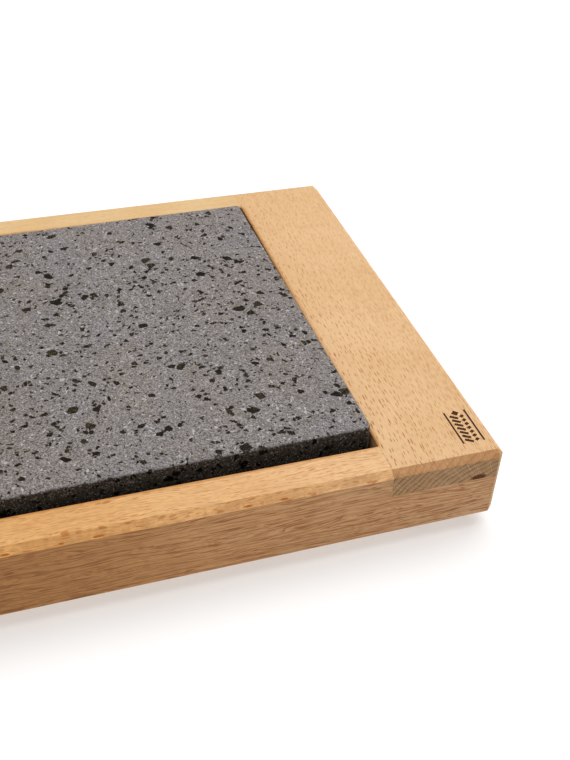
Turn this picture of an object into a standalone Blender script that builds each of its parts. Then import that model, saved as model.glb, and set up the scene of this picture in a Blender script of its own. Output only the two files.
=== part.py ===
"""Granite slab in a beech bench frame, for stamping and punching leather.

The slab lies loose on a cork liner, inside a frame of four rails. The two end
rails are wide and lap over the two narrow side rails. A plywood panel, screwed
up into a rebate, carries the stone. Metres, +Z up, origin on the bench under
the middle of the frame, +X along the slab's length.
"""
import math

import bmesh
import bpy

# The stone
SLAB_LENGTH = 0.300
SLAB_DEPTH = 0.200
SLAB_THICKNESS = 0.030
SLAB_ARRIS = 0.0013          # eased edge, all round
SLAB_PROUD = 0.0065          # how far the working top stands above the rails
SLAB_TURN = math.radians(0.8)   # the loose slab lies a little turned
SLAB_RIGHT_GAP = 0.00145     # from its right front corner to the right end rail
SLAB_FRONT_GAP = 0.0012      # from its left front corner to the front rail

# The frame
END_PLAY = 0.010             # recess length over slab length
SIDE_PLAY = 0.014            # recess depth over slab depth
SIDE_RAIL_WIDTH = 0.018
END_RAIL_WIDTH = 0.052
LAP_DEPTH = 0.0132           # thickness of the end rail's tongue
OUTER_CHAMFER = 0.003
INNER_EASE = 0.0005          # eased edge round the top of the recess

# What carries the stone
PANEL_THICKNESS = 0.012
PANEL_INSET = 0.0004         # panel's underside above the rails' underside
REBATE_WIDTH = 0.009
LINER_THICKNESS = 0.0015
LINER_GAP = 0.001            # liner's edge to the recess wall

# Fasteners and feet
BASE_SCREW_RADIUS = 0.0015
BASE_SCREW_HEAD_RADIUS = 0.003
BASE_SCREW_LENGTH = 0.025
SIDE_SCREWS = 3
END_SCREWS = 2
DOWEL_RADIUS = 0.004
DOWEL_COVER = 0.003          # wood left between a dowel and the top face
DOWELS_PER_CORNER = 2
FOOT_HEIGHT = 0.0055
FOOT_RADIUS = 0.010
FOOT_FLOOR_RADIUS = 0.0092
FOOT_INSET = 0.014           # foot's axis to the end rail's shoulder
FOOT_SCREW_RADIUS = 0.0019
FOOT_SCREW_HEAD_RADIUS = 0.0036
FOOT_SCREW_CROWN_RADIUS = 0.0025   # flat of its head, inside the rounded edge
FOOT_SCREW_HEAD_HEIGHT = 0.0018
FOOT_SCREW_BITE = 0.014      # length inside the rail
WASHER_RADIUS = 0.0045
WASHER_THICKNESS = 0.0008

# Small shared sizes
FIT = 0.0003                 # gap between pieces that touch
HEAD_RIM = 0.0004            # straight edge of a countersunk head
SCREW_TIP = 0.004
DOWEL_CHAMFER = 0.0006
DRIVE_DEPTH = 0.0010         # cross recess in the screw heads
DRIVE_ARM = 0.55             # its reach, as a share of the head's radius
DRIVE_HALF_WIDTH = 0.20      # half its arms' width, as a share of the head's radius
STOCK = 0.004                # spare wood that the outer shape trims off
REACH = 0.010                # how far a cutter runs past what it cuts
MERGE = 0.00001
SCREW_SIDES = 14
ROUND_SIDES = 24
ROUND_ANGLE = math.radians(35)  # faces that meet flatter than this shade as one

# Worked out from the sizes above
RECESS_LENGTH = SLAB_LENGTH + END_PLAY
RECESS_DEPTH = SLAB_DEPTH + SIDE_PLAY
OUTER_LENGTH = RECESS_LENGTH + 2 * END_RAIL_WIDTH
OUTER_DEPTH = RECESS_DEPTH + 2 * SIDE_RAIL_WIDTH
PANEL_TOP = PANEL_INSET + PANEL_THICKNESS
LINER_BOTTOM = PANEL_TOP + FIT
SLAB_BOTTOM = LINER_BOTTOM + LINER_THICKNESS + FIT
RAIL_HEIGHT = SLAB_BOTTOM + SLAB_THICKNESS - SLAB_PROUD
FRAME_Z = FOOT_HEIGHT + FIT
REBATE_HEIGHT = PANEL_TOP + FIT
FOOT_BORE_RADIUS = WASHER_RADIUS + 2 * FIT
FOOT_BORE_DEPTH = WASHER_THICKNESS + FOOT_SCREW_HEAD_HEIGHT + 3 * FIT


def make_collection(name):
    collection = bpy.data.collections.new(name)
    bpy.context.scene.collection.children.link(collection)
    return collection


def make_material(name, color, roughness, metallic=0.0):
    material = bpy.data.materials.new(name)
    material.use_nodes = True
    shader = material.node_tree.nodes["Principled BSDF"]
    shader.inputs["Base Color"].default_value = (*color, 1.0)
    shader.inputs["Roughness"].default_value = roughness
    shader.inputs["Metallic"].default_value = metallic
    return material


def add_object(name, mesh, collection, location=(0, 0, 0), parent=None):
    item = bpy.data.objects.new(name, mesh)
    item.location = location
    item.parent = parent
    collection.objects.link(item)
    return item


def make_cutter(item):
    item.hide_render = True
    item.display_type = "WIRE"
    return item


def box_mesh(name, *boxes):
    """A mesh of boxes, each given by its lowest and its highest corner."""
    solid = bmesh.new()
    for low, high in boxes:
        corners = bmesh.ops.create_cube(solid, size=1.0)["verts"]
        size = [b - a for a, b in zip(low, high)]
        middle = [(a + b) / 2 for a, b in zip(low, high)]
        bmesh.ops.scale(solid, vec=size, verts=corners)
        bmesh.ops.translate(solid, vec=middle, verts=corners)
    mesh = bpy.data.meshes.new(name)
    solid.to_mesh(mesh)
    solid.free()
    return mesh


def block_mesh(name, size):
    """A box centred in plan, standing on its own origin."""
    length, depth, height = size
    return box_mesh(name, ((-length / 2, -depth / 2, 0), (length / 2, depth / 2, height)))


def bake(item):
    """The object's finished mesh. The object itself is removed."""
    depsgraph = bpy.context.evaluated_depsgraph_get()
    mesh = bpy.data.meshes.new_from_object(item.evaluated_get(depsgraph))
    mesh.name = item.name
    bpy.data.objects.remove(item)
    return mesh


def face_outwards(mesh):
    """Welds a mesh's seams and points all its faces out."""
    solid = bmesh.new()
    solid.from_mesh(mesh)
    bmesh.ops.remove_doubles(solid, verts=solid.verts, dist=MERGE)
    bmesh.ops.recalc_face_normals(solid, faces=solid.faces)
    solid.to_mesh(mesh)
    solid.free()


def turned_mesh(name, profile, sides, collection, closed=False):
    """Turns (radius, height) points, top to bottom down the outside, about Z."""
    count = len(profile)
    edges = [(i, i + 1) for i in range(count - 1)]
    if closed:
        edges.append((count - 1, 0))
    outline = bpy.data.meshes.new(name)
    outline.from_pydata([(r, 0, z) for r, z in profile], edges, [])
    item = add_object(name, outline, collection)
    screw = item.modifiers.new("turn", "SCREW")
    screw.axis = "Z"
    screw.steps = sides
    screw.render_steps = sides
    screw.use_merge_vertices = True
    screw.merge_threshold = MERGE
    mesh = bake(item)
    face_outwards(mesh)
    mesh.shade_smooth()
    mesh.set_sharp_from_angle(angle=ROUND_ANGLE)
    return mesh


def spread_mesh(name, mesh, places):
    """One mesh with a copy of another at each place, for cutting a pattern."""
    solid = bmesh.new()
    for place in places:
        before = len(solid.verts)
        solid.from_mesh(mesh)
        solid.verts.ensure_lookup_table()
        bmesh.ops.translate(solid, vec=place, verts=solid.verts[before:])
    pattern = bpy.data.meshes.new(name)
    solid.to_mesh(pattern)
    solid.free()
    return pattern


def combine(item, cutter, operation="DIFFERENCE", solver="EXACT"):
    boolean = item.modifiers.new(cutter.name, "BOOLEAN")
    boolean.operation = operation
    boolean.solver = solver
    boolean.object = cutter


def evenly(count, span):
    """Centres of equal shares of a span that is centred on zero."""
    return [(i - (count - 1) / 2) * span / count for i in range(count)]


def base_screw_places():
    x_side = RECESS_LENGTH / 2 + REBATE_WIDTH / 2
    y_side = RECESS_DEPTH / 2 + REBATE_WIDTH / 2
    places = []
    for side in (-1, 1):
        places += [(x, side * y_side, PANEL_INSET) for x in evenly(SIDE_SCREWS, RECESS_LENGTH)]
        places += [(side * x_side, y, PANEL_INSET) for y in evenly(END_SCREWS, RECESS_DEPTH)]
    return places


def dowel_places():
    """Dowels stand in the solid part of the tongue, clear of the panel's corner."""
    start = RECESS_LENGTH / 2 + REBATE_WIDTH
    span = OUTER_LENGTH / 2 - start
    y = RECESS_DEPTH / 2 + SIDE_RAIL_WIDTH / 2
    steps = [start + span / 2 + along for along in evenly(DOWELS_PER_CORNER, span)]
    return [(sx * x, sy * y, 0) for sx in (-1, 1) for sy in (-1, 1) for x in steps]


def foot_places():
    start = RECESS_LENGTH / 2 + REBATE_WIDTH
    x = (start + OUTER_LENGTH / 2) / 2
    y = RECESS_DEPTH / 2 - FOOT_INSET
    return [(sx * x, sy * y, 0) for sx in (-1, 1) for sy in (-1, 1)]


def countersunk_profile(grow=0.0, below=0.0):
    """A countersunk screw, head down, its head's face at zero height."""
    shank = BASE_SCREW_RADIUS + grow
    head = BASE_SCREW_HEAD_RADIUS + grow
    cone_top = HEAD_RIM + BASE_SCREW_HEAD_RADIUS - BASE_SCREW_RADIUS + grow
    return [
        (0, BASE_SCREW_LENGTH + 2 * grow),
        (shank, BASE_SCREW_LENGTH - SCREW_TIP + grow),
        (shank, cone_top),
        (head, HEAD_RIM + grow),
        (head, -below),
        (0, -below),
    ]


def cross_mesh(name, head_radius, collection):
    """A cross-shaped punch for a screw's drive recess, centred on its own origin."""
    arm = DRIVE_ARM * head_radius
    half = DRIVE_HALF_WIDTH * head_radius
    corner = [(half, half), (arm, half), (arm, -half)]
    points = []
    for quarter in range(4):
        turn = -quarter * math.pi / 2
        for x, y in corner:
            points.append((x * math.cos(turn) - y * math.sin(turn),
                           x * math.sin(turn) + y * math.cos(turn), 0, 1))
    curve = bpy.data.curves.new(name, "CURVE")
    curve.dimensions = "2D"
    curve.fill_mode = "BOTH"
    curve.extrude = DRIVE_DEPTH
    spline = curve.splines.new("POLY")
    spline.points.add(len(points) - 1)
    for point, place in zip(spline.points, points):
        point.co = place
    spline.use_cyclic_u = True
    mesh = bake(add_object(name, curve, collection))
    face_outwards(mesh)
    return mesh


def driven_mesh(name, profile, head_radius, head_face, collection):
    """A turned screw with a cross recess sunk into the face of its head."""
    item = add_object(name, turned_mesh(name, profile, SCREW_SIDES, collection), collection)
    punch = add_object(name + "_drive", cross_mesh(name + "_drive", head_radius, collection),
                       collection, (0, 0, head_face))
    combine(item, punch, solver="MANIFOLD")     # the recess is too small for EXACT
    mesh = bake(item)
    bpy.data.objects.remove(punch)
    return mesh


def add_copies(name, mesh, places, collection, parent, material):
    mesh.materials.clear()
    mesh.materials.append(material)
    for number, place in enumerate(places, start=1):
        add_object(f"{name}_{number}", mesh, collection, place, parent)


def build_cutters(cutters, datum):
    """Every cut in the rails and the panel, in the frame's own coordinates."""
    half_length = RECESS_LENGTH / 2
    half_depth = RECESS_DEPTH / 2
    far_x = OUTER_LENGTH / 2 + REACH
    far_y = OUTER_DEPTH / 2 + REACH
    meshes = {}
    meshes["outer_shape"] = block_mesh("outer_shape", (OUTER_LENGTH, OUTER_DEPTH, RAIL_HEIGHT))
    lap_floor = RAIL_HEIGHT - LAP_DEPTH
    meshes["lap_sockets"] = box_mesh(
        "lap_sockets",
        ((half_length - FIT, -far_y, lap_floor - FIT), (far_x, far_y, RAIL_HEIGHT + REACH)),
        ((-far_x, -far_y, lap_floor - FIT), (-half_length + FIT, far_y, RAIL_HEIGHT + REACH)))
    meshes["lap_shoulders"] = box_mesh(
        "lap_shoulders",
        ((-far_x, half_depth - FIT, -REACH), (far_x, far_y, lap_floor)),
        ((-far_x, -far_y, -REACH), (far_x, -half_depth + FIT, lap_floor)))
    rebate = (half_length + REBATE_WIDTH, half_depth + REBATE_WIDTH)
    meshes["panel_rebate"] = box_mesh(
        "panel_rebate", ((-rebate[0], -rebate[1], -REACH), (rebate[0], rebate[1], REBATE_HEIGHT)))
    meshes["recess_rim"] = rim_mesh("recess_rim")
    hole = turned_mesh("screw_hole", countersunk_profile(FIT, REACH), SCREW_SIDES, cutters)
    meshes["screw_holes"] = spread_mesh("screw_holes", hole, base_screw_places())
    dowel_hole = turned_mesh("dowel_hole", [
        (0, RAIL_HEIGHT - DOWEL_COVER + FIT),
        (DOWEL_RADIUS + FIT, RAIL_HEIGHT - DOWEL_COVER + FIT),
        (DOWEL_RADIUS + FIT, -REACH),
        (0, -REACH)], ROUND_SIDES, cutters)
    meshes["dowel_holes"] = spread_mesh("dowel_holes", dowel_hole, dowel_places())
    foot_hole = turned_mesh("foot_hole", [
        (0, FOOT_SCREW_BITE + 2 * FIT),
        (FOOT_SCREW_RADIUS + FIT, FOOT_SCREW_BITE - SCREW_TIP + FIT),
        (FOOT_SCREW_RADIUS + FIT, -REACH),
        (0, -REACH)], SCREW_SIDES, cutters)
    meshes["foot_holes"] = spread_mesh("foot_holes", foot_hole, foot_places())
    made = {}
    for name, mesh in meshes.items():
        made[name] = make_cutter(add_object(name, mesh, cutters, parent=datum))
    bevel = made["outer_shape"].modifiers.new("chamfer", "BEVEL")
    bevel.width = OUTER_CHAMFER
    bevel.segments = 1
    return made


def rim_mesh(name):
    """A shallow funnel that eases the recess's upper edge at 45 degrees."""
    middle = RAIL_HEIGHT - INNER_EASE
    flare = 3 * INNER_EASE
    mesh = box_mesh(name, ((-RECESS_LENGTH / 2, -RECESS_DEPTH / 2, middle - flare),
                           (RECESS_LENGTH / 2, RECESS_DEPTH / 2, middle + flare)))
    for corner in mesh.vertices:
        widen = corner.co.z - middle
        corner.co.x += widen if corner.co.x > 0 else -widen
        corner.co.y += widen if corner.co.y > 0 else -widen
    return mesh


def build_rails(parts, cuts, datum):
    stock_height = RAIL_HEIGHT + 2 * STOCK
    side_y = OUTER_DEPTH / 2 - SIDE_RAIL_WIDTH / 2 + STOCK / 2
    side_size = (OUTER_LENGTH + 2 * STOCK, SIDE_RAIL_WIDTH + STOCK, stock_height)
    end_x = OUTER_LENGTH / 2 - END_RAIL_WIDTH / 2 + STOCK / 2
    end_size = (END_RAIL_WIDTH + STOCK, OUTER_DEPTH + 2 * STOCK, stock_height)
    rails = [
        ("front_rail", side_size, (0, -side_y, -STOCK), "lap_sockets", (0.78, 0.55, 0.32)),
        ("back_rail", side_size, (0, side_y, -STOCK), "lap_sockets", (0.80, 0.58, 0.35)),
        ("left_end_rail", end_size, (-end_x, 0, -STOCK), "lap_shoulders", (0.80, 0.57, 0.36)),
        ("right_end_rail", end_size, (end_x, 0, -STOCK), "lap_shoulders", (0.80, 0.57, 0.35)),
    ]
    for name, size, place, joint, color in rails:
        rail = add_object(name, block_mesh(name, size), parts, place, datum)
        rail.data.materials.append(make_material(name + "_beech", color, 0.55))
        combine(rail, cuts["outer_shape"], "INTERSECT")
        combine(rail, cuts[joint])
        combine(rail, cuts["panel_rebate"])
        combine(rail, cuts["recess_rim"])
        combine(rail, cuts["screw_holes"])
        combine(rail, cuts["dowel_holes"])
        if joint == "lap_shoulders":
            combine(rail, cuts["foot_holes"])


def build_floor(parts, cuts, datum):
    """The panel in its rebate, and the liner that the stone lies on."""
    panel_size = (RECESS_LENGTH + 2 * (REBATE_WIDTH - FIT),
                  RECESS_DEPTH + 2 * (REBATE_WIDTH - FIT), PANEL_THICKNESS)
    panel = add_object("base_panel", block_mesh("base_panel", panel_size), parts,
                       (0, 0, PANEL_INSET), datum)
    panel.data.materials.append(make_material("birch_plywood", (0.74, 0.60, 0.42), 0.6))
    combine(panel, cuts["screw_holes"])
    liner_size = (RECESS_LENGTH - 2 * LINER_GAP, RECESS_DEPTH - 2 * LINER_GAP, LINER_THICKNESS)
    liner = add_object("cork_liner", block_mesh("cork_liner", liner_size), parts,
                       (0, 0, LINER_BOTTOM), datum)
    liner.data.materials.append(make_material("cork", (0.46, 0.31, 0.19), 0.85))


def build_slab(parts):
    """The stone, on an upright axis through its middle, along which it lifts out."""
    corner_x = RECESS_LENGTH / 2 - SLAB_RIGHT_GAP
    corner_y = -RECESS_DEPTH / 2 + SLAB_FRONT_GAP + SLAB_LENGTH * math.sin(SLAB_TURN)
    along = -SLAB_LENGTH / 2
    back = SLAB_DEPTH / 2
    axis = bpy.data.objects.new("slab_lift_axis", None)
    axis.location = (corner_x + along * math.cos(SLAB_TURN) - back * math.sin(SLAB_TURN),
                     corner_y + along * math.sin(SLAB_TURN) + back * math.cos(SLAB_TURN),
                     FRAME_Z + SLAB_BOTTOM)
    axis.rotation_euler.z = SLAB_TURN
    parts.objects.link(axis)
    size = (SLAB_LENGTH, SLAB_DEPTH, SLAB_THICKNESS)
    slab = add_object("granite_slab", block_mesh("granite_slab", size), parts, parent=axis)
    slab.data.materials.append(make_material("granite", (0.23, 0.22, 0.23), 0.7))
    arris = slab.modifiers.new("arris", "BEVEL")
    arris.width = SLAB_ARRIS
    arris.segments = 2


def build_fasteners(parts, cutters, datum):
    steel = make_material("zinc_plated_steel", (0.62, 0.62, 0.60), 0.35, 1.0)
    screw = driven_mesh("base_screw", countersunk_profile(), BASE_SCREW_HEAD_RADIUS, 0, cutters)
    add_copies("base_screw", screw, base_screw_places(), parts, datum, steel)
    length = RAIL_HEIGHT - DOWEL_COVER
    inner = DOWEL_RADIUS - DOWEL_CHAMFER
    dowel = turned_mesh("corner_dowel", [
        (0, length), (inner, length), (DOWEL_RADIUS, length - DOWEL_CHAMFER),
        (DOWEL_RADIUS, DOWEL_CHAMFER), (inner, 0), (0, 0)], ROUND_SIDES, cutters)
    dowel_wood = make_material("dowel_beech", (0.72, 0.50, 0.30), 0.6)
    add_copies("corner_dowel", dowel, dowel_places(), parts, datum, dowel_wood)


def build_feet(parts, cutters, datum):
    """Rubber feet, each on a washer and a pan-head screw sunk clear of the bench."""
    hole = FOOT_SCREW_RADIUS + FIT
    foot = turned_mesh("foot", [
        (hole, FOOT_HEIGHT), (FOOT_RADIUS, FOOT_HEIGHT), (FOOT_FLOOR_RADIUS, 0),
        (FOOT_BORE_RADIUS, 0), (FOOT_BORE_RADIUS, FOOT_BORE_DEPTH), (hole, FOOT_BORE_DEPTH)],
        ROUND_SIDES, cutters, closed=True)
    washer = turned_mesh("foot_washer", [
        (hole, WASHER_THICKNESS), (WASHER_RADIUS, WASHER_THICKNESS),
        (WASHER_RADIUS, 0), (hole, 0)], ROUND_SIDES, cutters, closed=True)
    washer_z = FOOT_BORE_DEPTH - FIT - WASHER_THICKNESS - FRAME_Z
    bearing_z = washer_z - FIT
    tip = FOOT_SCREW_BITE - bearing_z
    screw = driven_mesh("foot_screw", [
        (0, tip), (FOOT_SCREW_RADIUS, tip - SCREW_TIP), (FOOT_SCREW_RADIUS, 0),
        (FOOT_SCREW_HEAD_RADIUS, 0), (FOOT_SCREW_HEAD_RADIUS, -FOOT_SCREW_HEAD_HEIGHT / 2),
        (FOOT_SCREW_CROWN_RADIUS, -FOOT_SCREW_HEAD_HEIGHT), (0, -FOOT_SCREW_HEAD_HEIGHT)],
        FOOT_SCREW_HEAD_RADIUS, -FOOT_SCREW_HEAD_HEIGHT, cutters)
    rubber = make_material("black_rubber", (0.03, 0.03, 0.03), 0.75)
    steel = make_material("foot_steel", (0.60, 0.60, 0.58), 0.35, 1.0)
    places = foot_places()
    add_copies("foot", foot, [(x, y, -FRAME_Z) for x, y, z in places], parts, datum, rubber)
    add_copies("foot_washer", washer, [(x, y, washer_z) for x, y, z in places], parts, datum, steel)
    add_copies("foot_screw", screw, [(x, y, bearing_z) for x, y, z in places], parts, datum, steel)


def build():
    for item in list(bpy.data.objects):
        bpy.data.objects.remove(item)
    parts = make_collection("granite_slab_board")
    cutters = make_collection("cutters")
    datum = bpy.data.objects.new("frame_datum", None)
    datum.location.z = FRAME_Z
    parts.objects.link(datum)
    cuts = build_cutters(cutters, datum)
    build_rails(parts, cuts, datum)
    build_floor(parts, cuts, datum)
    build_slab(parts)
    build_fasteners(parts, cutters, datum)
    build_feet(parts, cutters, datum)


build()
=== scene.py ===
import math

import bmesh
import bpy
from mathutils import Matrix, Vector, noise


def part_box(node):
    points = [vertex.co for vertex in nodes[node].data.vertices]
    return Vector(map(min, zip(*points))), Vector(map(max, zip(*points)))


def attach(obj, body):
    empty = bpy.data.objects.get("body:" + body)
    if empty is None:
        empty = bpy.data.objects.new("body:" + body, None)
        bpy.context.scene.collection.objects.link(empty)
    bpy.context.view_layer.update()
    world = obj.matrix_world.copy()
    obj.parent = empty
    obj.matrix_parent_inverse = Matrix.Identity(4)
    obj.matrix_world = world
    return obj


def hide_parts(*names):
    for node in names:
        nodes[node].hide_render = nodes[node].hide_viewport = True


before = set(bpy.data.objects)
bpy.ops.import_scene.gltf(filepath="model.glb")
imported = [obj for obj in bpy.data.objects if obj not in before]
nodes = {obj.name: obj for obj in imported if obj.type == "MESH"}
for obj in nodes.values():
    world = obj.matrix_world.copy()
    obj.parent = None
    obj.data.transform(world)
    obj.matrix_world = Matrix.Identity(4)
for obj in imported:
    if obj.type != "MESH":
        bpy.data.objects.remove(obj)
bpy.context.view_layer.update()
scene = bpy.context.scene
mm = 0.001
toMm = 1000.0               # materials measure in millimetres
flush = 0.02 * mm           # a point this close to a plane lies on it
touching = 1e-6             # and points this close are one


# small helpers for meshes and node trees

def tint(red, green, blue):
    # 8-bit colour as seen on screen, to the linear colour that a shader takes
    parts = [part / 255 for part in (red, green, blue)]
    linear = [p / 12.92 if p < 0.04045 else ((p + 0.055) / 1.055) ** 2.4 for p in parts]
    return (*linear, 1.0)


def addNode(tree, kind, inputs=None, **settings):
    made = tree.nodes.new("ShaderNode" + kind)
    for name, value in settings.items():
        setattr(made, name, value)
    for socket, value in (inputs or {}).items():
        if isinstance(value, bpy.types.NodeSocket):
            tree.links.new(value, made.inputs[socket])
        else:
            made.inputs[socket].default_value = value
    return made


def maths(tree, operation, *values, clamp=False):
    made = addNode(tree, "Math", dict(enumerate(values)), operation=operation, use_clamp=clamp)
    return made.outputs[0]


def vectorMaths(tree, operation, *values):
    made = addNode(tree, "VectorMath", dict(enumerate(values)), operation=operation)
    return made.outputs["Value" if operation in ("LENGTH", "DOT_PRODUCT") else "Vector"]


def scaled(tree, vector, factor):
    return addNode(tree, "VectorMath", {0: vector, "Scale": factor}, operation="SCALE").outputs["Vector"]


def remap(tree, value, low, high, toLow=0.0, toHigh=1.0):
    made = addNode(tree, "MapRange", {"Value": value, "From Min": low, "From Max": high,
                                      "To Min": toLow, "To Max": toHigh}, interpolation_type="SMOOTHSTEP")
    return made.outputs["Result"]


def blendColours(tree, factor, first, second, how="MIX"):
    made = addNode(tree, "Mix", {0: factor, 6: first, 7: second}, data_type="RGBA", blend_type=how)
    return made.outputs[2]


def tinted(tree, share, colour, by):
    # the colour multiplied by another one, as far as the share goes
    return blendColours(tree, share, colour, blendColours(tree, 1.0, colour, by, "MULTIPLY"))


def shaded(tree, colour, value):
    grey = addNode(tree, "CombineColor", {0: value, 1: value, 2: value}).outputs[0]
    return blendColours(tree, 1.0, colour, grey, "MULTIPLY")


def cloud(tree, vector, detail=2.0, roughness=0.5):
    made = addNode(tree, "TexNoise", {"Vector": vector, "Scale": 1.0, "Detail": detail,
                                      "Roughness": roughness})
    return made.outputs["Fac"]


def cells(tree, vector, randomness=1.0, feature="F1"):
    return addNode(tree, "TexVoronoi", {"Vector": vector, "Scale": 1.0, "Randomness": randomness},
                   feature=feature).outputs


def newGroup(name, takes, gives):
    tree = bpy.data.node_groups.new(name, "ShaderNodeTree")
    for label, value in takes.items():
        kind = "NodeSocketVector" if isinstance(value, tuple) else "NodeSocketFloat"
        socket = tree.interface.new_socket(name=label, in_out="INPUT", socket_type=kind)
        socket.default_value = value
    for label in gives:
        tree.interface.new_socket(name=label, in_out="OUTPUT", socket_type="NodeSocketFloat")
    take = tree.nodes.new("NodeGroupInput").outputs
    give = tree.nodes.new("NodeGroupOutput").inputs
    return tree, take, give


def placeGroup(tree, group, inputs):
    return addNode(tree, "Group", inputs, node_tree=group).outputs


def newMaterial(name):
    material = bpy.data.materials.new(name)
    material.use_nodes = True
    tree = material.node_tree
    shader = tree.nodes["Principled BSDF"]
    where = addNode(tree, "TexCoord").outputs
    return material, tree, shader, where


def feed(tree, shader, colour, roughness, height, depth, strength=1.0):
    bump = addNode(tree, "Bump", {"Strength": strength, "Distance": depth, "Height": height})
    tree.links.new(colour, shader.inputs["Base Color"])
    tree.links.new(roughness, shader.inputs["Roughness"])
    tree.links.new(bump.outputs["Normal"], shader.inputs["Normal"])


def addPiece(name, mesh, body, slot, *replaced):
    piece = bpy.data.objects.new(name, mesh)
    scene.collection.objects.link(piece)
    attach(piece, body)
    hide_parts(*replaced)
    return piece


def bakedMesh(piece):
    depsgraph = bpy.context.evaluated_depsgraph_get()
    return bpy.data.meshes.new_from_object(piece.evaluated_get(depsgraph))


# camera, set from the frame's front right top corner

cameraSetup = {
    "fromCorner": (-0.20102, -0.27671, 0.29244),
    "turn": 19.625,             # degrees to the right of straight back
    "down": 38.363,
    "roll": 2.944,
    "lens": 48.674,
}


def makeCamera(setup):
    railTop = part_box("right_end_rail")[1]
    corner = Vector((railTop.x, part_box("right_end_rail")[0].y, railTop.z))
    camera = bpy.data.objects.new("studio_camera", bpy.data.cameras.new("studio_camera"))
    camera.data.lens = setup["lens"]
    camera.data.clip_start = 0.01
    camera.data.clip_end = 30
    aim = Matrix.Rotation(math.radians(-setup["turn"]), 4, "Z")
    aim = aim @ Matrix.Rotation(math.radians(90 - setup["down"]), 4, "X")
    aim = aim @ Matrix.Rotation(math.radians(setup["roll"]), 4, "Z")
    camera.matrix_world = Matrix.Translation(corner + Vector(setup["fromCorner"])) @ aim
    scene.collection.objects.link(camera)
    scene.camera = camera
    print("camera set")


makeCamera(cameraSetup)


# effects that more than one material uses

def makeEdgeMask():
    # 1 on rounded edges, broken up by a fine cloud, 0 on flat faces that square with the axes
    tree, take, give = newGroup("edgeMask", {"Normal": (0.0, 0.0, 1.0), "Place": (0.0, 0.0, 0.0),
                                             "Patch Size": 3.0}, ["Mask"])
    across = addNode(tree, "SeparateXYZ", {0: take["Normal"]}).outputs
    sides = [maths(tree, "ABSOLUTE", across[axis]) for axis in range(3)]
    most = maths(tree, "MAXIMUM", maths(tree, "MAXIMUM", sides[0], sides[1]), sides[2])
    turned = remap(tree, most, 0.985, 0.90)
    size = maths(tree, "DIVIDE", 1.0, take["Patch Size"])
    patchy = remap(tree, cloud(tree, scaled(tree, take["Place"], size), 3.0, 0.6), 0.35, 0.65)
    tree.links.new(maths(tree, "MULTIPLY", turned, patchy), give["Mask"])
    return tree


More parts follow.
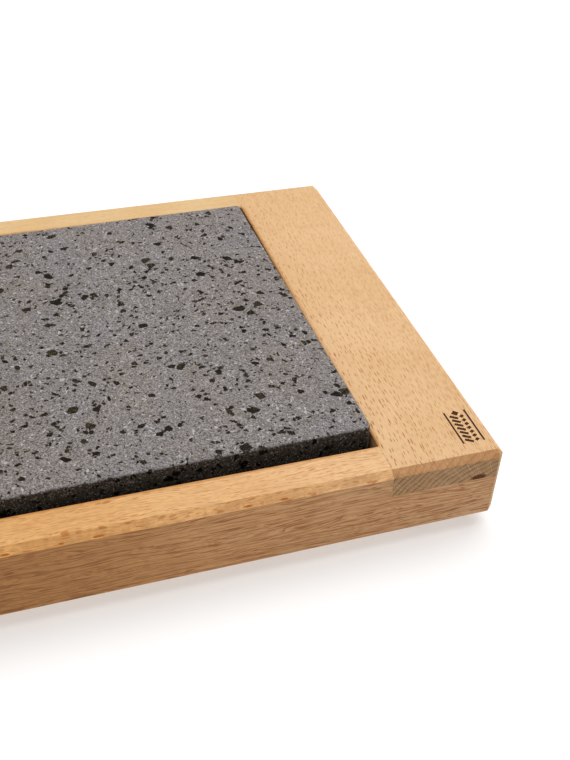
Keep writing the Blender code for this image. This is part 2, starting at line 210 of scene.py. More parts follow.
def makeBeechFigure():
    # Solid beech in millimetres: X runs along the grain, Y and Z are measured from the pith
    tree, take, give = newGroup("beechFigure", {
        "Place": (0.0, 0.0, 0.0), "Ring Width": 2.2, "Mean Radius": 60.0, "Waviness": 1.5,
        "Fleck Length": 2.0, "Fleck Width": 0.23}, ["Rings", "Flecks", "Small Flecks", "Streaks", "Fibre"])
    slow = vectorMaths(tree, "MULTIPLY", take["Place"], (0.014, 0.09, 0.09))
    drift = addNode(tree, "TexNoise", {"Vector": slow, "Scale": 1.0, "Detail": 2.0}).outputs["Color"]
    drift = scaled(tree, vectorMaths(tree, "SUBTRACT", drift, (0.5, 0.5, 0.5)), take["Waviness"])
    wavy = vectorMaths(tree, "ADD", take["Place"], vectorMaths(tree, "MULTIPLY", drift, (0.0, 4.0, 4.0)))
    along, across, up = addNode(tree, "SeparateXYZ", {0: wavy}).outputs
    radius = vectorMaths(tree, "LENGTH", vectorMaths(tree, "MULTIPLY", wavy, (0.0, 1.0, 1.0)))
    arc = maths(tree, "MULTIPLY", maths(tree, "ARCTAN2", across, up), take["Mean Radius"])

    ringPhase = maths(tree, "FRACT", maths(tree, "DIVIDE", radius, take["Ring Width"]))
    ringShape = addNode(tree, "ValToRGB", {0: ringPhase})
    ramp = ringShape.color_ramp
    ramp.elements[0].color = (0.05, 0.05, 0.05, 1)
    ramp.elements[1].color = (0.05, 0.05, 0.05, 1)
    for position, level in ((0.45, 0.12), (0.74, 0.4), (0.88, 1.0)):
        ramp.elements.new(position).color = (level, level, level, 1)
    patches = cloud(tree, vectorMaths(tree, "MULTIPLY", wavy, (0.06, 0.3, 0.3)))
    breaks = remap(tree, patches, 0.3, 0.62, 0.45)
    tree.links.new(maths(tree, "MULTIPLY", ringShape.outputs["Color"], breaks), give["Rings"])

    def rays(cell, half, kept):
        # lens-shaped marks, one to a cell; sizes run along the grain, around the pith and out from it
        steps = [maths(tree, "DIVIDE", value, size) for value, size in zip((along, arc, radius), cell)]
        grid = addNode(tree, "CombineXYZ", dict(enumerate(steps))).outputs[0]
        found = cells(tree, grid, 0.8)
        away = vectorMaths(tree, "SUBTRACT", grid, found["Position"])
        stretch = addNode(tree, "CombineXYZ", {0: maths(tree, "DIVIDE", cell[0], half[0]),
                                               1: maths(tree, "DIVIDE", cell[1], half[1]),
                                               2: cell[2] / half[2]}).outputs[0]
        reach = vectorMaths(tree, "LENGTH", vectorMaths(tree, "MULTIPLY", away, stretch))
        chance = addNode(tree, "SeparateColor", {0: found["Color"]}).outputs
        reach = maths(tree, "MULTIPLY", reach, maths(tree, "MULTIPLY_ADD", chance[0], 0.5, 0.75))
        lens = remap(tree, reach, 1.0, 0.45)
        strength = maths(tree, "MULTIPLY_ADD", chance[2], 0.4, 0.6)
        lens = maths(tree, "MULTIPLY", lens, strength)
        return maths(tree, "MULTIPLY", lens, remap(tree, chance[1], kept, kept + 0.1))

    flecks = rays((4.7, 1.45, 16.0), (take["Fleck Length"], take["Fleck Width"], 15.0), 0.02)
    tree.links.new(flecks, give["Flecks"])
    small = rays((2.3, 1.0, 7.0), (0.9, 0.19, 6.0), 0.2)
    tree.links.new(small, give["Small Flecks"])
    long = vectorMaths(tree, "MULTIPLY", wavy, (0.06, 1.8, 1.8))
    tree.links.new(remap(tree, cloud(tree, long, 2.0, 0.5), 0.53, 0.62), give["Streaks"])
    fine = vectorMaths(tree, "MULTIPLY", wavy, (0.11, 2.6, 2.6))
    tree.links.new(cloud(tree, fine, 3.0, 0.6), give["Fibre"])
    return tree


def makeCrystals():
    # Angular grains in millimetres: a share of the cells, each patch of stone turned its own way
    tree, take, give = newGroup("crystals", {"Place": (0.0, 0.0, 0.0), "Cell": 3.0, "Share": 0.08,
                                             "Stretch": (1.0, 1.0, 1.0), "Trim": 0.05,
                                             "Patch": 16.0}, ["Mask", "Tone"])
    patchSize = maths(tree, "DIVIDE", 1.0, take["Patch"])
    patch = cells(tree, scaled(tree, take["Place"], patchSize))["Color"]
    turn = scaled(tree, patch, math.tau)
    rough = addNode(tree, "TexNoise", {"Vector": take["Place"], "Scale": 1.4, "Detail": 2.0}).outputs["Color"]
    rough = scaled(tree, vectorMaths(tree, "SUBTRACT", rough, (0.5, 0.5, 0.5)), 0.8)
    turned = addNode(tree, "VectorRotate", {"Vector": vectorMaths(tree, "ADD", take["Place"], rough),
                                            "Rotation": turn}, rotation_type="EULER_XYZ").outputs[0]
    grid = scaled(tree, vectorMaths(tree, "MULTIPLY", turned, take["Stretch"]),
                  maths(tree, "DIVIDE", 1.0, take["Cell"]))
    chance = addNode(tree, "SeparateColor", {0: cells(tree, grid)["Color"]}).outputs
    chosen = maths(tree, "LESS_THAN", chance[0], take["Share"])
    border = cells(tree, grid, feature="DISTANCE_TO_EDGE")["Distance"]
    inside = remap(tree, border, take["Trim"], maths(tree, "ADD", take["Trim"], 0.06))
    tree.links.new(maths(tree, "MULTIPLY", chosen, inside), give["Mask"])
    tree.links.new(chance[1], give["Tone"])
    return tree


edgeMask = makeEdgeMask()
beechFigure = makeBeechFigure()
crystals = makeCrystals()
print("shared effects built")


# the stone

stone = {
    "length": 0.300,
    "depth": 0.200,
    "turn": 0.8,                # degrees that the loose slab lies askew
    "arris": 0.0013,
    "arrisSteps": 5,
    "cornerRound": 0.0024,
    "cornerSteps": 5,
    "sharpFrom": 0.6,           # radians between two faces that meet in an arris
    "gridStep": 0.004,
    "edgeParts": 5,             # finer points along each edge, for the chips
    "chipDepth": 0.00165,
    "waver": 0.00007,
    "matrix": tint(122, 117, 116),
    "matrixWarm": tint(124, 117, 113),
    "crystal": tint(12, 12, 8),
    "crystalPale": tint(90, 78, 56),
    "ochre": tint(106, 90, 56),
    "lath": tint(184, 182, 183),
    "leftDarker": (0.84, 0.83, 0.80, 1.0),       # darker towards the left
    "leftDarkerAlong": (60.0, -60.0),            # where that begins and is complete, millimetres along X
    "sideShade": (0.28, 0.285, 0.255, 1.0),
    "gloss": 0.04,
    "laths": {"Cell": 2.0, "Share": 0.06, "Trim": 0.05, "Stretch": (0.75, 3.2, 2.0), "Patch": 5.0},
    "lathStrength": 0.7,
    "ochreGrains": {"Cell": 1.9, "Share": 0.03, "Trim": 0.08, "Patch": 9.0},
    "ochreStrength": 0.6,
    "ochreShift": (40.0, 7.0, 3.0),         # keeps these grains off the laths
    "darkCrystals": (
        {"Cell": 4.9, "Share": 0.048, "Trim": 0.04, "Stretch": (1.0, 1.2, 1.1), "Patch": 37.0},
        {"Cell": 3.2, "Share": 0.07, "Trim": 0.04, "Stretch": (1.0, 1.55, 1.2), "Patch": 23.0},
        {"Cell": 2.0, "Share": 0.045, "Trim": 0.04, "Stretch": (1.0, 1.4, 1.0), "Patch": 14.0},
        {"Cell": 1.1, "Share": 0.035, "Trim": 0.03, "Stretch": (1.0, 1.2, 1.0), "Patch": 9.0},
    ),
    "layerShift": (13.0, 31.0, 5.0),        # from one layer of crystals to the next
}


def makeGranite(look):
    material, tree, shader, where = newMaterial("granite_honed")
    place = scaled(tree, where["Object"], toMm)
    broad = cloud(tree, scaled(tree, place, 0.03), 2.0)
    colour = blendColours(tree, remap(tree, broad, 0.35, 0.65), look["matrix"], look["matrixWarm"])
    grain = cloud(tree, scaled(tree, place, 1.7), 3.0, 0.75)
    specks = addNode(tree, "SeparateColor", {0: cells(tree, scaled(tree, place, 1.9))["Color"]}).outputs[0]
    grain = maths(tree, "MULTIPLY_ADD", specks, 0.16, maths(tree, "MULTIPLY", grain, 0.84))
    along = addNode(tree, "SeparateXYZ", {0: place}).outputs[0]
    # darker towards the left end of the slab
    colour = tinted(tree, remap(tree, along, *look["leftDarkerAlong"]), colour, look["leftDarker"])
    shade = remap(tree, grain, 0.37, 0.63, 0.42, 1.56)
    colour = shaded(tree, colour, shade)

    laths = placeGroup(tree, crystals, {"Place": place, **look["laths"]})
    paleShare = maths(tree, "MULTIPLY", laths["Mask"], look["lathStrength"])
    colour = blendColours(tree, paleShare, colour, look["lath"])
    aside = vectorMaths(tree, "ADD", place, look["ochreShift"])
    ochre = placeGroup(tree, crystals, {"Place": aside, **look["ochreGrains"]})
    ochreShare = maths(tree, "MULTIPLY", ochre["Mask"], look["ochreStrength"])
    colour = blendColours(tree, ochreShare, colour, look["ochre"])

    cleavage = vectorMaths(tree, "MULTIPLY", place, (3.4, 1.5, 2.2))
    mottle = remap(tree, cloud(tree, cleavage, 3.0, 0.7), 0.47, 0.62)
    dark = None
    for number, layer in enumerate(look["darkCrystals"]):
        moved = vectorMaths(tree, "ADD", place, tuple(number * part for part in look["layerShift"]))
        found = placeGroup(tree, crystals, {"Place": moved, **layer})
        tone = maths(tree, "MULTIPLY", mottle, remap(tree, found["Tone"], 0.0, 1.0, 0.2, 1.0))
        inner = blendColours(tree, tone, look["crystal"], look["crystalPale"])
        colour = blendColours(tree, found["Mask"], colour, inner)
        dark = found["Mask"] if dark is None else maths(tree, "MAXIMUM", dark, found["Mask"])

    # the standing faces, found by their normal, are made far darker than the honed top: partly the darker
    # sawn finish, partly painted shade
    upright = addNode(tree, "SeparateXYZ", {0: where["Normal"]}).outputs[2]
    side = remap(tree, maths(tree, "ABSOLUTE", upright), 0.85, 0.3)
    colour = tinted(tree, side, colour, look["sideShade"])
    # painted glints: small light specks painted into the standing faces
    paintedGlints = maths(tree, "MULTIPLY", remap(tree, specks, 0.88, 0.94, 0.0, 0.3), side)
    colour = blendColours(tree, paintedGlints, colour, look["lath"])
    worn = placeGroup(tree, edgeMask, {"Normal": where["Normal"], "Place": place, "Patch Size": 2.0})["Mask"]
    colour = blendColours(tree, maths(tree, "MULTIPLY", worn, 0.12), colour, look["lath"])

    roughness = maths(tree, "MULTIPLY_ADD", grain, 0.25, 0.58)
    roughness = maths(tree, "MULTIPLY_ADD", dark, -0.12, roughness)
    height = maths(tree, "MULTIPLY_ADD", dark, -0.5, grain)
    feed(tree, shader, colour, roughness, height, 0.0001, 0.6)
    shader.inputs["Specular IOR Level"].default_value = look["gloss"]
    return material


def makeSlab(look):
    low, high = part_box("granite_slab")
    size = Vector((look["length"], look["depth"], high.z - low.z))
    block = bmesh.new()
    bmesh.ops.create_cube(block, size=1.0)
    bmesh.ops.scale(block, vec=size, verts=block.verts)
    for axis in range(3):
        run = [edge for edge in block.edges
               if abs(edge.verts[0].co[axis] - edge.verts[1].co[axis]) > size[axis] / 2]
        bmesh.ops.subdivide_edges(block, edges=run, cuts=round(size[axis] / look["gridStep"]) - 1)
    half = size / 2
    standing = [edge for edge in block.edges
                if all(half[axis] - abs(point.co[axis]) < touching
                       for axis in (0, 1) for point in edge.verts)]
    bmesh.ops.bevel(block, geom=standing, offset=look["cornerRound"], offset_type="OFFSET",
                    segments=look["cornerSteps"], profile=0.5, affect="EDGES")

    def sharpEdges():
        return [edge for edge in block.edges if edge.calc_face_angle() > look["sharpFrom"]]

    for edge in [edge for edge in sharpEdges() if edge.calc_length() > look["arris"]]:
        for left in range(look["edgeParts"], 1, -1):
            edge, point = bmesh.utils.edge_split(edge, edge.verts[0], 1 / left)
            edge = max(point.link_edges, key=lambda side: side.calc_length())
    bmesh.ops.bevel(block, geom=sharpEdges(), offset=look["arris"], offset_type="OFFSET",
                    segments=look["arrisSteps"], profile=0.5, affect="EDGES")
    block.normal_update()
    for point in block.verts:
        free = [half[axis] - abs(point.co[axis]) for axis in range(3)]
        if min(free) < touching:        # on a flat face, which stays flat
            continue
        spot = point.co * toMm
        knock = max(0.0, noise.noise(spot * 0.28) - 0.22) * max(0.0, noise.noise(spot * 0.9) + 0.25)
        rough = noise.noise(spot * 1.7)
        point.co -= point.normal * (look["chipDepth"] * knock + look["waver"] * rough)
    block.transform(Matrix.Translation((low + high) / 2)
                    @ Matrix.Rotation(math.radians(look["turn"]), 4, "Z"))
    mesh = bpy.data.meshes.new("stone_slab")
    block.to_mesh(mesh)
    block.free()
    mesh.shade_smooth()
    slab = addPiece("stone_slab", mesh, "slab", "granite", "granite_slab")
    slab.modifiers.new("even_shading", "WEIGHTED_NORMAL").keep_sharp = True
    slab.data.materials.append(makeGranite(look))
    print("slab made,", len(mesh.vertices), "points")


makeSlab(stone)


# beech rails and the mark burnt into one of them

burntMark = {
    "fromOutside": 0.011,       # middle of the mark to the rail's right face
    "fromFront": 0.020,
    "length": 0.021,
    "width": 0.0098,
    "ruleWidth": 0.0009,
    "stitches": 7,
    "stitchSize": (0.0039, 0.0015),
    "dotSize": (0.00195, 0.0015),
    "diamondSize": 0.0026,
    "stitchRow": -0.34,         # rows lie at these shares of the half width
    "dotRow": 0.42,
    "slant": 32,
    "depth": 0.00018,
}

beech = {
    "pale": tint(212, 174, 130),
    "warm": tint(208, 168, 122),
    # painted shade: the front rail darker and more yellow towards its left end, where less light falls
    "leftShade": (0.93, 0.82, 0.61, 1.0),
    "leftShadeAlong": (190.0, -20.0),           # where it begins and is complete, millimetres along X
    "ring": tint(162, 112, 68),
    "fleck": tint(164, 98, 44),
    "resin": tint(182, 102, 24),
    "endGrain": (0.71, 0.67, 0.65, 1.0),
    "endRing": (0.34, 0.29, 0.24, 1.0),
    "endRay": (2.15, 2.35, 2.6, 1.0),
    # painted shade on the standing faces, which take less light than the tops
    "upright": (0.93, 0.86, 0.84, 1.0),
    # painted shade: its standing faces darker still towards the left end
    "uprightLeftShade": (0.68, 0.585, 0.50, 1.0),
    "uprightLeftShadeAlong": (110.0, -60.0),
    "slant": (1.08, 0.92, 0.83, 1.0),
    "pitch": tint(92, 54, 20),
    "eased": (1.22, 1.17, 1.12, 1.0),       # painted highlight on the chamfers along the grain
    "recessShadow": (0.80, 0.64, 0.44, 1.0),       # painted shadow along the recess, cast by the slab standing proud
    "corner": (1.08, 1.30, 1.36, 1.0),      # painted highlight on the four rounded standing corners
    "cornerRound": 0.0016,
    "cornerSteps": 6,
    "easing": 0.0003,
    "easedFrom": 0.35,          # radians between two faces whose edge is eased
    "glueGap": 0.0003,          # how far apart the wood's solids lie at a glued joint
    "jointGap": 0.00005,
    "gloss": 0.15,
}

# pith in metres; rings in millimetres; each pair of shares is for flat and for standing faces
# places of the spots: along X from the middle, back from the front face, down from the top
rails = {
    # the front rail alone gets the painted shade towards its left end
    "front_rail": {"grain": "x", "pith": (0.0, -0.112, -0.050), "tone": (1.07, 1.05, 1.02, 1.0),
                   "flecks": 0.75, "rings": (0.16, 0.95), "streaks": (0.28, 0.95), "fibre": 0.14,
                   "waviness": 3.0, "ringWidth": 2.2, "ringRadius": 94.0, "leftShade": 1.0, "spots": [
                       {"place": (x, 0.0006, 0.0024), "half": (along, 0.6, 0.6), "colour": "resin"}
                       for x, along in ((-0.003, 2.3), (0.018, 1.3), (0.032, 2.8),
                                        (0.092, 2.4), (0.107, 2.2))]},
    "back_rail": {"grain": "x", "pith": (0.0, 0.090, -0.030), "tone": (0.97, 1.03, 0.99, 1.0),
                  "flecks": 0.3, "rings": (0.10, 0.6), "streaks": (0.10, 0.5), "fibre": 0.07,
                  "waviness": 1.2, "ringWidth": 2.2, "ringRadius": 74.0, "leftShade": 0.0, "spots": []},
    "left_end_rail": {"grain": "y", "pith": (-0.212, 0.0, -0.014), "tone": (0.98, 0.99, 0.985, 1.0),
                      "flecks": 0.9, "rings": (0.10, 0.5), "streaks": (0.12, 0.5), "fibre": 0.08,
                      "waviness": 1.4, "ringWidth": 2.2, "ringRadius": 74.0, "leftShade": 0.0, "spots": []},
    "right_end_rail": {"grain": "y", "pith": (0.216, 0.0, -0.009), "tone": (0.98, 0.99, 0.985, 1.0),
                       "flecks": 1.0, "rings": (0.08, 0.5), "streaks": (0.12, 0.5), "fibre": 0.08,
                       "waviness": 1.0, "ringWidth": 2.5, "ringRadius": 74.0, "leftShade": 0.0, "spots": [
                           {"place": (0.1955, 0.0, 0.0121), "half": (4.6, 5.0, 1.9), "colour": "pitch"},
                           {"place": (0.206, 0.0013, 0.0013), "half": (0.9, 0.9, 0.9), "colour": "pitch"}]},
}


def makeBeech(name, rail, look):
    material, tree, shader, where = newMaterial(name + "_beech")
    place = scaled(tree, where["Object"], toMm)
    fromPith = scaled(tree, vectorMaths(tree, "SUBTRACT", where["Object"], rail["pith"]), toMm)
    normal = addNode(tree, "SeparateXYZ", {0: where["Normal"]}).outputs
    if rail["grain"] == "y":
        parts = addNode(tree, "SeparateXYZ", {0: fromPith}).outputs
        fromPith = addNode(tree, "CombineXYZ", {0: parts[1], 1: parts[0], 2: parts[2]}).outputs[0]
    lengthwise = normal["XYZ".index(rail["grain"].upper())]
    wood = placeGroup(tree, beechFigure, {"Place": fromPith, "Waviness": rail["waviness"],
                                          "Ring Width": rail["ringWidth"],
                                          "Mean Radius": rail["ringRadius"]})

    # which way the surface faces: cut on end grain, slant on chamfers over it, bend on chamfers along
    # the grain, turned on the rounded standing corners
    cut = remap(tree, maths(tree, "ABSOLUTE", lengthwise), 0.48, 0.95)
    level = maths(tree, "ABSOLUTE", normal[2])
    upright = maths(tree, "SUBTRACT", remap(tree, level, 0.6, 0.2), cut, clamp=True)
    slant = maths(tree, "MULTIPLY", cut, maths(tree, "SUBTRACT", 1.0, cut))
    slant = maths(tree, "MULTIPLY", slant, 4.0, clamp=True)
    bend = maths(tree, "MULTIPLY", remap(tree, level, 0.96, 0.85), remap(tree, level, 0.45, 0.6))
    bend = maths(tree, "SUBTRACT", bend, slant, clamp=True)
    turned = maths(tree, "MINIMUM", maths(tree, "ABSOLUTE", normal[0]), maths(tree, "ABSOLUTE", normal[1]))
    turned = maths(tree, "MULTIPLY", remap(tree, turned, 0.15, 0.4), remap(tree, level, 0.5, 0.2))

    broad = remap(tree, cloud(tree, scaled(tree, place, 0.022), 2.0), 0.35, 0.65)
    colour = blendColours(tree, broad, look["pale"], look["warm"])
    # painted shade: darker and more yellow towards the left end, where less light falls
    if rail["leftShade"]:
        along = addNode(tree, "SeparateXYZ", {0: place}).outputs[0]
        left = remap(tree, along, *look["leftShadeAlong"], 0.0, rail["leftShade"])
        colour = tinted(tree, left, colour, look["leftShade"])
    for figure in ("Rings", "Streaks"):
        flat, standing = rail[figure.lower()]
        share = maths(tree, "MULTIPLY", wood[figure], remap(tree, upright, 0.0, 1.0, flat, standing))
        colour = blendColours(tree, share, colour, look["ring"])
    fibre = remap(tree, wood["Fibre"], 0.35, 0.65, 1.03 - rail["fibre"], 1.03 + rail["fibre"] / 2)
    colour = shaded(tree, colour, fibre)
    away = maths(tree, "MAXIMUM", upright, cut)
    fleckShare = remap(tree, away, 0.0, 1.0, rail["flecks"], rail["flecks"] * 0.3)
    if rail["grain"] == "y":        # the rays come out more boldly towards the front
        forward = addNode(tree, "SeparateXYZ", {0: place}).outputs[1]
        fleckShare = maths(tree, "MULTIPLY", fleckShare, remap(tree, forward, 110.0, -130.0, 0.6, 1.0))
    colour = blendColours(tree, maths(tree, "MULTIPLY", wood["Flecks"], fleckShare), colour, look["fleck"])
    small = maths(tree, "MULTIPLY_ADD", bend, 0.2, maths(tree, "MULTIPLY", fleckShare, 0.18))
    small = maths(tree, "MULTIPLY", wood["Small Flecks"], small)
    colour = blendColours(tree, small, colour, look["fleck"])

    sawn = blendColours(tree, 1.0, colour, look["endGrain"], "MULTIPLY")
    sawn = tinted(tree, wood["Rings"], sawn, look["endRing"])
    ray = maths(tree, "MULTIPLY", wood["Small Flecks"], 0.65)
    sawn = tinted(tree, ray, sawn, look["endRay"])
    colour = blendColours(tree, cut, colour, sawn)
    colour = tinted(tree, slant, colour, look["slant"])

    # painted shade darkens the standing faces but not the walls of the recess, and a painted shadow lies on
    # the wood around the recess
    recess = (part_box("right_end_rail")[0].x * toMm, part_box("back_rail")[0].y * toMm)
    cross = 0 if rail["grain"] == "y" else 1
    reach = addNode(tree, "SeparateXYZ", {0: vectorMaths(tree, "ABSOLUTE", place)}).outputs
    outward = maths(tree, "SUBTRACT", reach[cross], recess[cross])
    wall = maths(tree, "MULTIPLY", upright, remap(tree, outward, 1.0, 0.5))
    # painted shade on the standing faces outside the recess
    shade = look["upright"]
    # painted shade: darker still towards the left end of the front rail
    if rail["leftShade"]:
        left = remap(tree, along, *look["uprightLeftShadeAlong"])
        shade = blendColours(tree, left, shade, look["uprightLeftShade"])
    shadedStanding = maths(tree, "SUBTRACT", upright, wall, clamp=True)
    colour = tinted(tree, shadedStanding, colour, shade)
    # painted highlight on the chamfers along the grain
    colour = tinted(tree, bend, colour, look["eased"])
    # painted highlight on the rounded standing corners, where light from the right falls
    colour = tinted(tree, turned, colour, look["corner"])
    # painted shadow: a ragged darker band on the wood beside the recess, where the slab shades it
    beside = remap(tree, reach[1 - cross], recess[1 - cross], recess[1 - cross] - 2.0)
    ragged = maths(tree, "MULTIPLY_ADD", cloud(tree, scaled(tree, place, 0.3)), 1.6, -0.8)
    recessShadowShare = maths(tree, "ADD", outward, ragged)
    recessShadowShare = maths(tree, "MULTIPLY", remap(tree, recessShadowShare, 2.1, 0.9, 0.0, 0.85), beside)
    recessShadowShare = maths(tree, "MULTIPLY", recessShadowShare, maths(tree, "SUBTRACT", 1.0, wall))
    colour = tinted(tree, recessShadowShare, colour, look["recessShadow"])
    colour = blendColours(tree, 1.0, colour, rail["tone"], "MULTIPLY")
    low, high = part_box(name)
    for spot in rail["spots"]:
        x, back, down = spot["place"]
        reach = vectorMaths(tree, "SUBTRACT", where["Object"], (x, low.y + back, high.z - down))
        reach = vectorMaths(tree, "DIVIDE", scaled(tree, reach, toMm), spot["half"])
        ragged = maths(tree, "MULTIPLY_ADD", cloud(tree, place, 3.0, 0.7), 0.9, -0.45)
        reach = maths(tree, "ADD", vectorMaths(tree, "LENGTH", reach), ragged)
        colour = blendColours(tree, remap(tree, reach, 1.0, 0.55), colour, look[spot["colour"]])
    worn = placeGroup(tree, edgeMask, {"Normal": where["Normal"], "Place": place, "Patch Size": 5.0})["Mask"]
    worn = maths(tree, "SUBTRACT", worn, turned, clamp=True)
    colour = blendColours(tree, maths(tree, "MULTIPLY", worn, 0.35), colour, look["ring"])

    roughness = maths(tree, "MULTIPLY_ADD", wood["Fibre"], 0.2, 0.42)
    roughness = maths(tree, "MULTIPLY_ADD", cut, 0.15, roughness)
    height = maths(tree, "MULTIPLY_ADD", wood["Flecks"], -0.3, wood["Fibre"])
    feed(tree, shader, colour, roughness, height, 0.00005, 0.5)
    shader.inputs["Specular IOR Level"].default_value = look["gloss"]
    return material


def makeBurnt():
    material, tree, shader, where = newMaterial("burnt_beech")
    place = scaled(tree, where["Object"], toMm)
    char = cloud(tree, scaled(tree, place, 2.0), 4.0, 0.7)
    colour = blendColours(tree, remap(tree, char, 0.35, 0.7), tint(40, 20, 10), tint(98, 56, 30))
    feed(tree, shader, colour, remap(tree, char, 0.2, 0.8, 0.6, 0.9), char, 0.00008, 0.8)
    shader.inputs["Specular IOR Level"].default_value = 0.1
    return material


def markCutter(mark, material):
    # a band of slanted stitches between two rules, with a small diamond at its far end
    low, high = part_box("right_end_rail")
    shape = bmesh.new()

    def stroke(along, across, length, width, slant=0.0):
        corners = bmesh.ops.create_cube(shape, size=1.0)["verts"]
        bmesh.ops.scale(shape, vec=(width, length, 2 * mark["depth"]), verts=corners)
        bmesh.ops.rotate(shape, matrix=Matrix.Rotation(math.radians(slant), 3, "Z"), verts=corners)
        bmesh.ops.translate(shape, vec=(across, along, 0), verts=corners)

    half = mark["width"] / 2
    for side in (-half, half):
        stroke(0, side, mark["length"], mark["ruleWidth"])
    pitch = mark["length"] / (mark["stitches"] + 1)
    for number in range(mark["stitches"]):
        along = (number - mark["stitches"] / 2) * pitch
        stroke(along, half * mark["stitchRow"], *mark["stitchSize"], 90 - mark["slant"])
        stroke(along, half * mark["dotRow"], *mark["dotSize"], 90 + mark["slant"])
    stroke((mark["stitches"] / 2) * pitch, 0, mark["diamondSize"], mark["diamondSize"], 45)
    bmesh.ops.translate(shape, verts=shape.verts, vec=(
        high.x - mark["fromOutside"], low.y + mark["fromFront"], high.z))
    mesh = bpy.data.meshes.new("mark_cutter")
    shape.to_mesh(mesh)
    shape.free()
    mesh.materials.append(material)
    cutter = bpy.data.objects.new("mark_cutter", mesh)
    scene.collection.objects.link(cutter)
    return cutter


def closeJoint(points, joint):
    # brings a glued face up to its neighbour: (axis, where it is, where it goes), on both sides
    axis, was, now = joint
    for point in points:
        value = point.co[axis]
        if abs(abs(value) - was) < flush:
            point.co[axis] = math.copysign(now, value)


def makeRail(name, rail, look, burnt):
    # plain copy of the wood's shape, with its flat faces whole again
    source = nodes[name].data
    mesh = bpy.data.meshes.new("rail_" + name)
    mesh.from_pydata([p.co for p in source.vertices], [], [list(f.vertices) for f in source.polygons])
    solid = bmesh.new()
    solid.from_mesh(mesh)
    bmesh.ops.remove_doubles(solid, verts=solid.verts, dist=touching)
    frontRail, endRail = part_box("front_rail"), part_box("right_end_rail")
    lapFloor = max(p.co.z for p in nodes["front_rail"].data.vertices if abs(p.co.x) > endRail[0].x + mm)
    lapRoof = lapFloor + look["glueGap"]
    if rail["grain"] == "x":
        shoulder = endRail[0].x
        joints = [(2, lapFloor, lapRoof - look["jointGap"]),
                  (0, shoulder - look["glueGap"], shoulder - look["jointGap"])]
    else:
        shoulder = -frontRail[1].y
        joints = [(1, shoulder - look["glueGap"], shoulder - look["jointGap"])]
    for joint in joints:
        closeJoint(solid.verts, joint)
    solid.to_mesh(mesh)
    mesh.materials.append(makeBeech(name, rail, look))
    if name == "right_end_rail":
        mesh.materials.append(burnt)
        raw = bpy.data.objects.new("raw_rail", mesh)
        scene.collection.objects.link(raw)
        cutter = markCutter(burntMark, burnt)
        cut = raw.modifiers.new("mark", "BOOLEAN")
        cut.object = cutter
        cut.solver = "EXACT"
        cut.material_mode = "TRANSFER"
        mesh = bakedMesh(raw)
        bpy.data.objects.remove(raw)
        bpy.data.objects.remove(cutter)
        solid.clear()
        solid.from_mesh(mesh)
    bmesh.ops.dissolve_limit(solid, angle_limit=math.radians(0.5), verts=solid.verts, edges=solid.edges,
                             delimit={"MATERIAL"})

    def glued(edge):
        for axis, _, now in joints + [(2, lapRoof, lapRoof)]:
            if all(abs(abs(p.co[axis]) - now) < flush for p in edge.verts):
                return True
        return False

    outer = (endRail[1].x - flush, -frontRail[0].y - flush)
    standing = [edge for edge in solid.edges
                if all(abs(p.co.x) > outer[0] and abs(p.co.y) > outer[1] for p in edge.verts)]
    bmesh.ops.bevel(solid, geom=standing, offset=look["cornerRound"], offset_type="OFFSET",
                    segments=look["cornerSteps"], profile=0.5, affect="EDGES")
    eased = [edge for edge in solid.edges
             if len(edge.link_faces) == 2 and edge.calc_length() > 2 * mm
             and edge.calc_face_angle() > look["easedFrom"]
             and all(face.material_index == 0 for face in edge.link_faces) and not glued(edge)]
    bmesh.ops.bevel(solid, geom=eased, offset=look["easing"], offset_type="OFFSET", segments=2, profile=0.5,
                    affect="EDGES", clamp_overlap=True)
    solid.to_mesh(mesh)
    solid.free()
    mesh.shade_smooth()
    mesh.set_sharp_from_angle(angle=math.radians(40))
    finish = "beech_side" if rail["grain"] == "x" else "beech_end"
    piece = addPiece("wood_" + name, mesh, "frame", finish, name)
    piece.modifiers.new("even_shading", "WEIGHTED_NORMAL").keep_sharp = True


burntBeech = makeBurnt()
for railName, railLook in rails.items():
    makeRail(railName, railLook, beech, burntBeech)
print("rails made")


# what shows when the slab is out, and from below

def dress(names, material):
    for name in names:
        data = nodes[name].data
        if not data.materials:
            data.materials.append(material)
        for slot in nodes[name].material_slots:
            slot.material = material


def makeCork():
    material, tree, shader, where = newMaterial("cork_granules")
    place = scaled(tree, where["Object"], toMm)
    warp = scaled(tree, vectorMaths(tree, "SUBTRACT", addNode(tree, "TexNoise", {
        "Vector": place, "Scale": 1.2}).outputs["Color"], (0.5, 0.5, 0.5)), 0.8)
    grid = scaled(tree, vectorMaths(tree, "ADD", place, warp), 0.7)
    chance = addNode(tree, "SeparateColor", {0: cells(tree, grid)["Color"]}).outputs
    border = cells(tree, grid, feature="DISTANCE_TO_EDGE")["Distance"]
    colour = blendColours(tree, chance[0], tint(150, 108, 70), tint(186, 143, 98))
    colour = blendColours(tree, remap(tree, chance[1], 0.88, 0.95), colour, tint(92, 60, 38))
    fine = cloud(tree, scaled(tree, place, 4.0), 3.0, 0.7)
    colour = blendColours(tree, remap(tree, fine, 0.55, 0.75, 0.0, 0.4), colour, tint(104, 70, 44))
    seam = remap(tree, border, 0.09, 0.01)
    colour = blendColours(tree, maths(tree, "MULTIPLY", seam, 0.7), colour, tint(84, 54, 34))
    height = maths(tree, "MULTIPLY_ADD", seam, -0.8, fine)
    feed(tree, shader, colour, remap(tree, fine, 0.2, 0.8, 0.75, 0.95), height, 0.00015, 0.8)
    return material


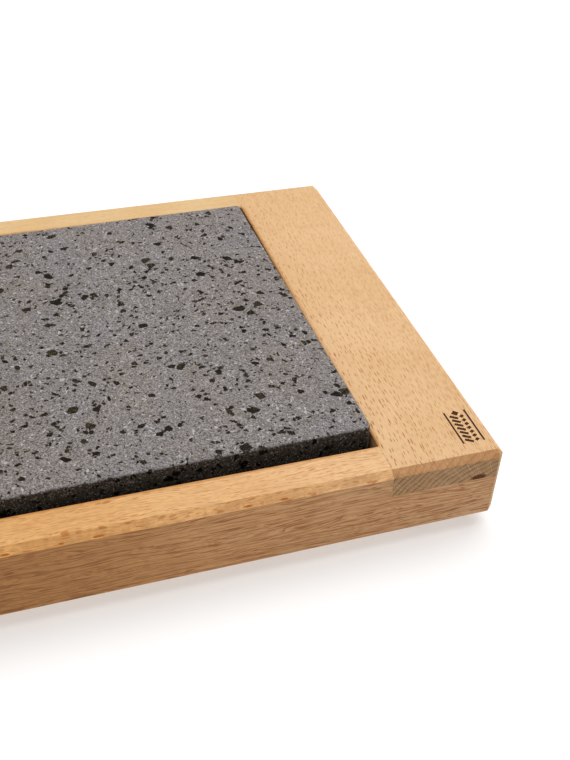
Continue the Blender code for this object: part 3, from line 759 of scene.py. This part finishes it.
def makePlywood():
    material, tree, shader, where = newMaterial("birch_plywood")
    place = scaled(tree, where["Object"], toMm)
    swirl = cloud(tree, vectorMaths(tree, "MULTIPLY", place, (0.0035, 0.022, 0.022)), 2.0)
    bands = maths(tree, "SINE", maths(tree, "MULTIPLY", swirl, 130.0))
    fibre = cloud(tree, vectorMaths(tree, "MULTIPLY", place, (0.12, 2.2, 2.2)), 3.0, 0.6)
    banded = remap(tree, bands, -0.6, 1.0, 0.0, 0.4)
    colour = blendColours(tree, banded, tint(214, 188, 148), tint(192, 158, 114))
    colour = blendColours(tree, remap(tree, fibre, 0.55, 0.75, 0.0, 0.35), colour, tint(150, 114, 76))
    height = maths(tree, "MULTIPLY_ADD", bands, 0.15, fibre)
    feed(tree, shader, colour, remap(tree, fibre, 0.2, 0.8, 0.55, 0.75), height, 0.00008, 0.6)
    return material


def makeZinc():
    material, tree, shader, where = newMaterial("zinc_plate")
    place = scaled(tree, where["Object"], toMm)
    tone = cloud(tree, scaled(tree, place, 0.9), 3.0, 0.6)
    colour = blendColours(tree, remap(tree, tone, 0.3, 0.7), tint(196, 198, 204), tint(176, 172, 158))
    scuff = cloud(tree, scaled(tree, place, 6.0), 2.0, 0.6)
    feed(tree, shader, colour, remap(tree, tone, 0.3, 0.7, 0.24, 0.42), scuff, 0.00003, 0.5)
    shader.inputs["Metallic"].default_value = 1.0
    return material


def makeDowelEnd():
    material, tree, shader, where = newMaterial("beech_dowel_ends")
    place = scaled(tree, where["Object"], toMm)
    rows = addNode(tree, "SeparateXYZ", {0: place}).outputs
    upended = addNode(tree, "CombineXYZ", {0: rows[2], 1: rows[0], 2: rows[1]}).outputs[0]
    wood = placeGroup(tree, beechFigure, {"Place": upended, "Mean Radius": 190.0, "Ring Width": 1.6})
    rings = maths(tree, "MULTIPLY", wood["Rings"], 0.5)
    colour = blendColours(tree, rings, tint(172, 132, 92), tint(138, 98, 62))
    flecks = maths(tree, "MULTIPLY", wood["Flecks"], 0.5)
    colour = blendColours(tree, flecks, colour, tint(120, 82, 50))
    feed(tree, shader, colour, remap(tree, wood["Fibre"], 0.2, 0.8, 0.55, 0.75), wood["Rings"], 0.00005, 0.5)
    return material


foot = {
    "radius": 0.0100,
    "floorRadius": 0.0092,
    "bore": 0.0051,
    "boreDepth": 0.0035,
    "screwHole": 0.0022,
    "edgeRound": 0.0007,
    "lip": 0.0006,              # groove under the top rim
    "toWood": 0.00025,          # squeezed up until it meets the rail
    "sides": 72,
}


def makeRubber():
    material, tree, shader, where = newMaterial("black_rubber")
    place = scaled(tree, where["Object"], toMm)
    fine = cloud(tree, scaled(tree, place, 3.5), 3.0, 0.7)
    dust = cloud(tree, scaled(tree, place, 0.35), 4.0, 0.7)
    colour = blendColours(tree, remap(tree, dust, 0.5, 0.8, 0.0, 0.5), tint(28, 28, 28), tint(66, 63, 58))
    feed(tree, shader, colour, remap(tree, dust, 0.3, 0.7, 0.6, 0.85), fine, 0.00006, 0.7)
    return material


def rounded(corner, radius, start, stop, steps=5):
    # points of a quarter round about a centre, angles in degrees
    return [(corner[0] + radius * math.cos(math.radians(a)), corner[1] + radius * math.sin(math.radians(a)))
            for a in (start + (stop - start) * step / steps for step in range(steps + 1))]


def makeFeet(look):
    low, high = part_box("foot_1")
    top = high.z - low.z + look["toWood"]
    soft = look["edgeRound"]
    rimTop = top - 2 * look["lip"]
    outline = [(look["screwHole"], top)]
    outline += rounded((look["radius"] - 0.4 * soft, top - 0.4 * soft), 0.4 * soft, 90, 0)
    outline += rounded((look["radius"], rimTop + look["lip"] / 2), look["lip"] / 2, 90, 270)
    outline += rounded((look["floorRadius"] - soft, soft), soft, 0, -90)
    outline += rounded((look["bore"] + 0.5 * soft, 0.5 * soft), 0.5 * soft, 270, 180)
    outline += [(look["bore"], look["boreDepth"]), (look["screwHole"], look["boreDepth"])]
    turned = bmesh.new()
    ring = [turned.verts.new((x, 0, z)) for x, z in outline]
    edges = [turned.edges.new((a, b)) for a, b in zip(ring, ring[1:] + ring[:1])]
    bmesh.ops.spin(turned, geom=ring + edges, cent=(0, 0, 0), axis=(0, 0, 1), angle=math.tau,
                   steps=look["sides"], use_merge=True)
    bmesh.ops.remove_doubles(turned, verts=turned.verts, dist=touching)
    bmesh.ops.recalc_face_normals(turned, faces=turned.faces)
    rubber = makeRubber()
    for number in range(1, 5):
        low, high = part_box(f"foot_{number}")
        mesh = bpy.data.meshes.new(f"rubber_foot_{number}")
        turned.to_mesh(mesh)
        mesh.transform(Matrix.Translation(((low.x + high.x) / 2, (low.y + high.y) / 2, low.z)))
        mesh.shade_smooth()
        mesh.set_sharp_from_angle(angle=math.radians(50))
        mesh.materials.append(rubber)
        addPiece(f"rubber_foot_{number}", mesh, "frame", "rubber", f"foot_{number}")
    turned.free()
    print("feet made")


makeFeet(foot)
dress(["cork_liner"], makeCork())
dress(["base_panel"], makePlywood())
dress([name for name in nodes if name.startswith("corner_dowel")], makeDowelEnd())
dress([name for name in nodes if "screw" in name or "washer" in name], makeZinc())
print("liner, panel, dowels, screws and washers finished")


# floor and light

studio = {
    "floorSize": 12.0,
    "floorTone": 0.55,
    "floorGlow": 0.45,
    "skyStrength": 0.20,
    "key": {"place": (0.55, 0.45, 1.9), "size": 2.4, "power": 62},
    "fill": {"place": (-1.6, -1.3, 1.3), "size": 1.6, "power": 6},
}


def makeStudio(look):
    sheet = bmesh.new()
    bmesh.ops.create_grid(sheet, x_segments=8, y_segments=8, size=look["floorSize"] / 2)
    mesh = bpy.data.meshes.new("studio_floor")
    sheet.to_mesh(mesh)
    sheet.free()
    floor = bpy.data.objects.new("studio_floor", mesh)
    floor.location.z = -0.05 * mm       # a hair under the feet
    scene.collection.objects.link(floor)
    material, _, shader, _ = newMaterial("studio_floor_paint")
    tone = look["floorTone"]
    shader.inputs["Base Color"].default_value = (tone, tone, tone, 1)
    shader.inputs["Roughness"].default_value = 0.9
    shader.inputs["Specular IOR Level"].default_value = 0.1
    shader.inputs["Emission Color"].default_value = (1, 1, 1, 1)
    shader.inputs["Emission Strength"].default_value = look["floorGlow"]
    mesh.materials.append(material)

    world = bpy.data.worlds.new("studio_sky")
    world.use_nodes = True
    sky = world.node_tree.nodes["Background"]
    sky.inputs["Color"].default_value = (1, 1, 1, 1)
    sky.inputs["Strength"].default_value = look["skyStrength"]
    scene.world = world
    for name in ("key", "fill"):
        lamp = look[name]
        light = bpy.data.lights.new(name + "_light", "AREA")
        light.size = lamp["size"]
        light.energy = lamp["power"]
        holder = bpy.data.objects.new(name + "_light", light)
        holder.location = lamp["place"]
        holder.rotation_euler = (-Vector(lamp["place"])).to_track_quat("-Z", "Y").to_euler()
        scene.collection.objects.link(holder)
    scene.view_settings.view_transform = "Standard"
    print("studio set")


makeStudio(studio)
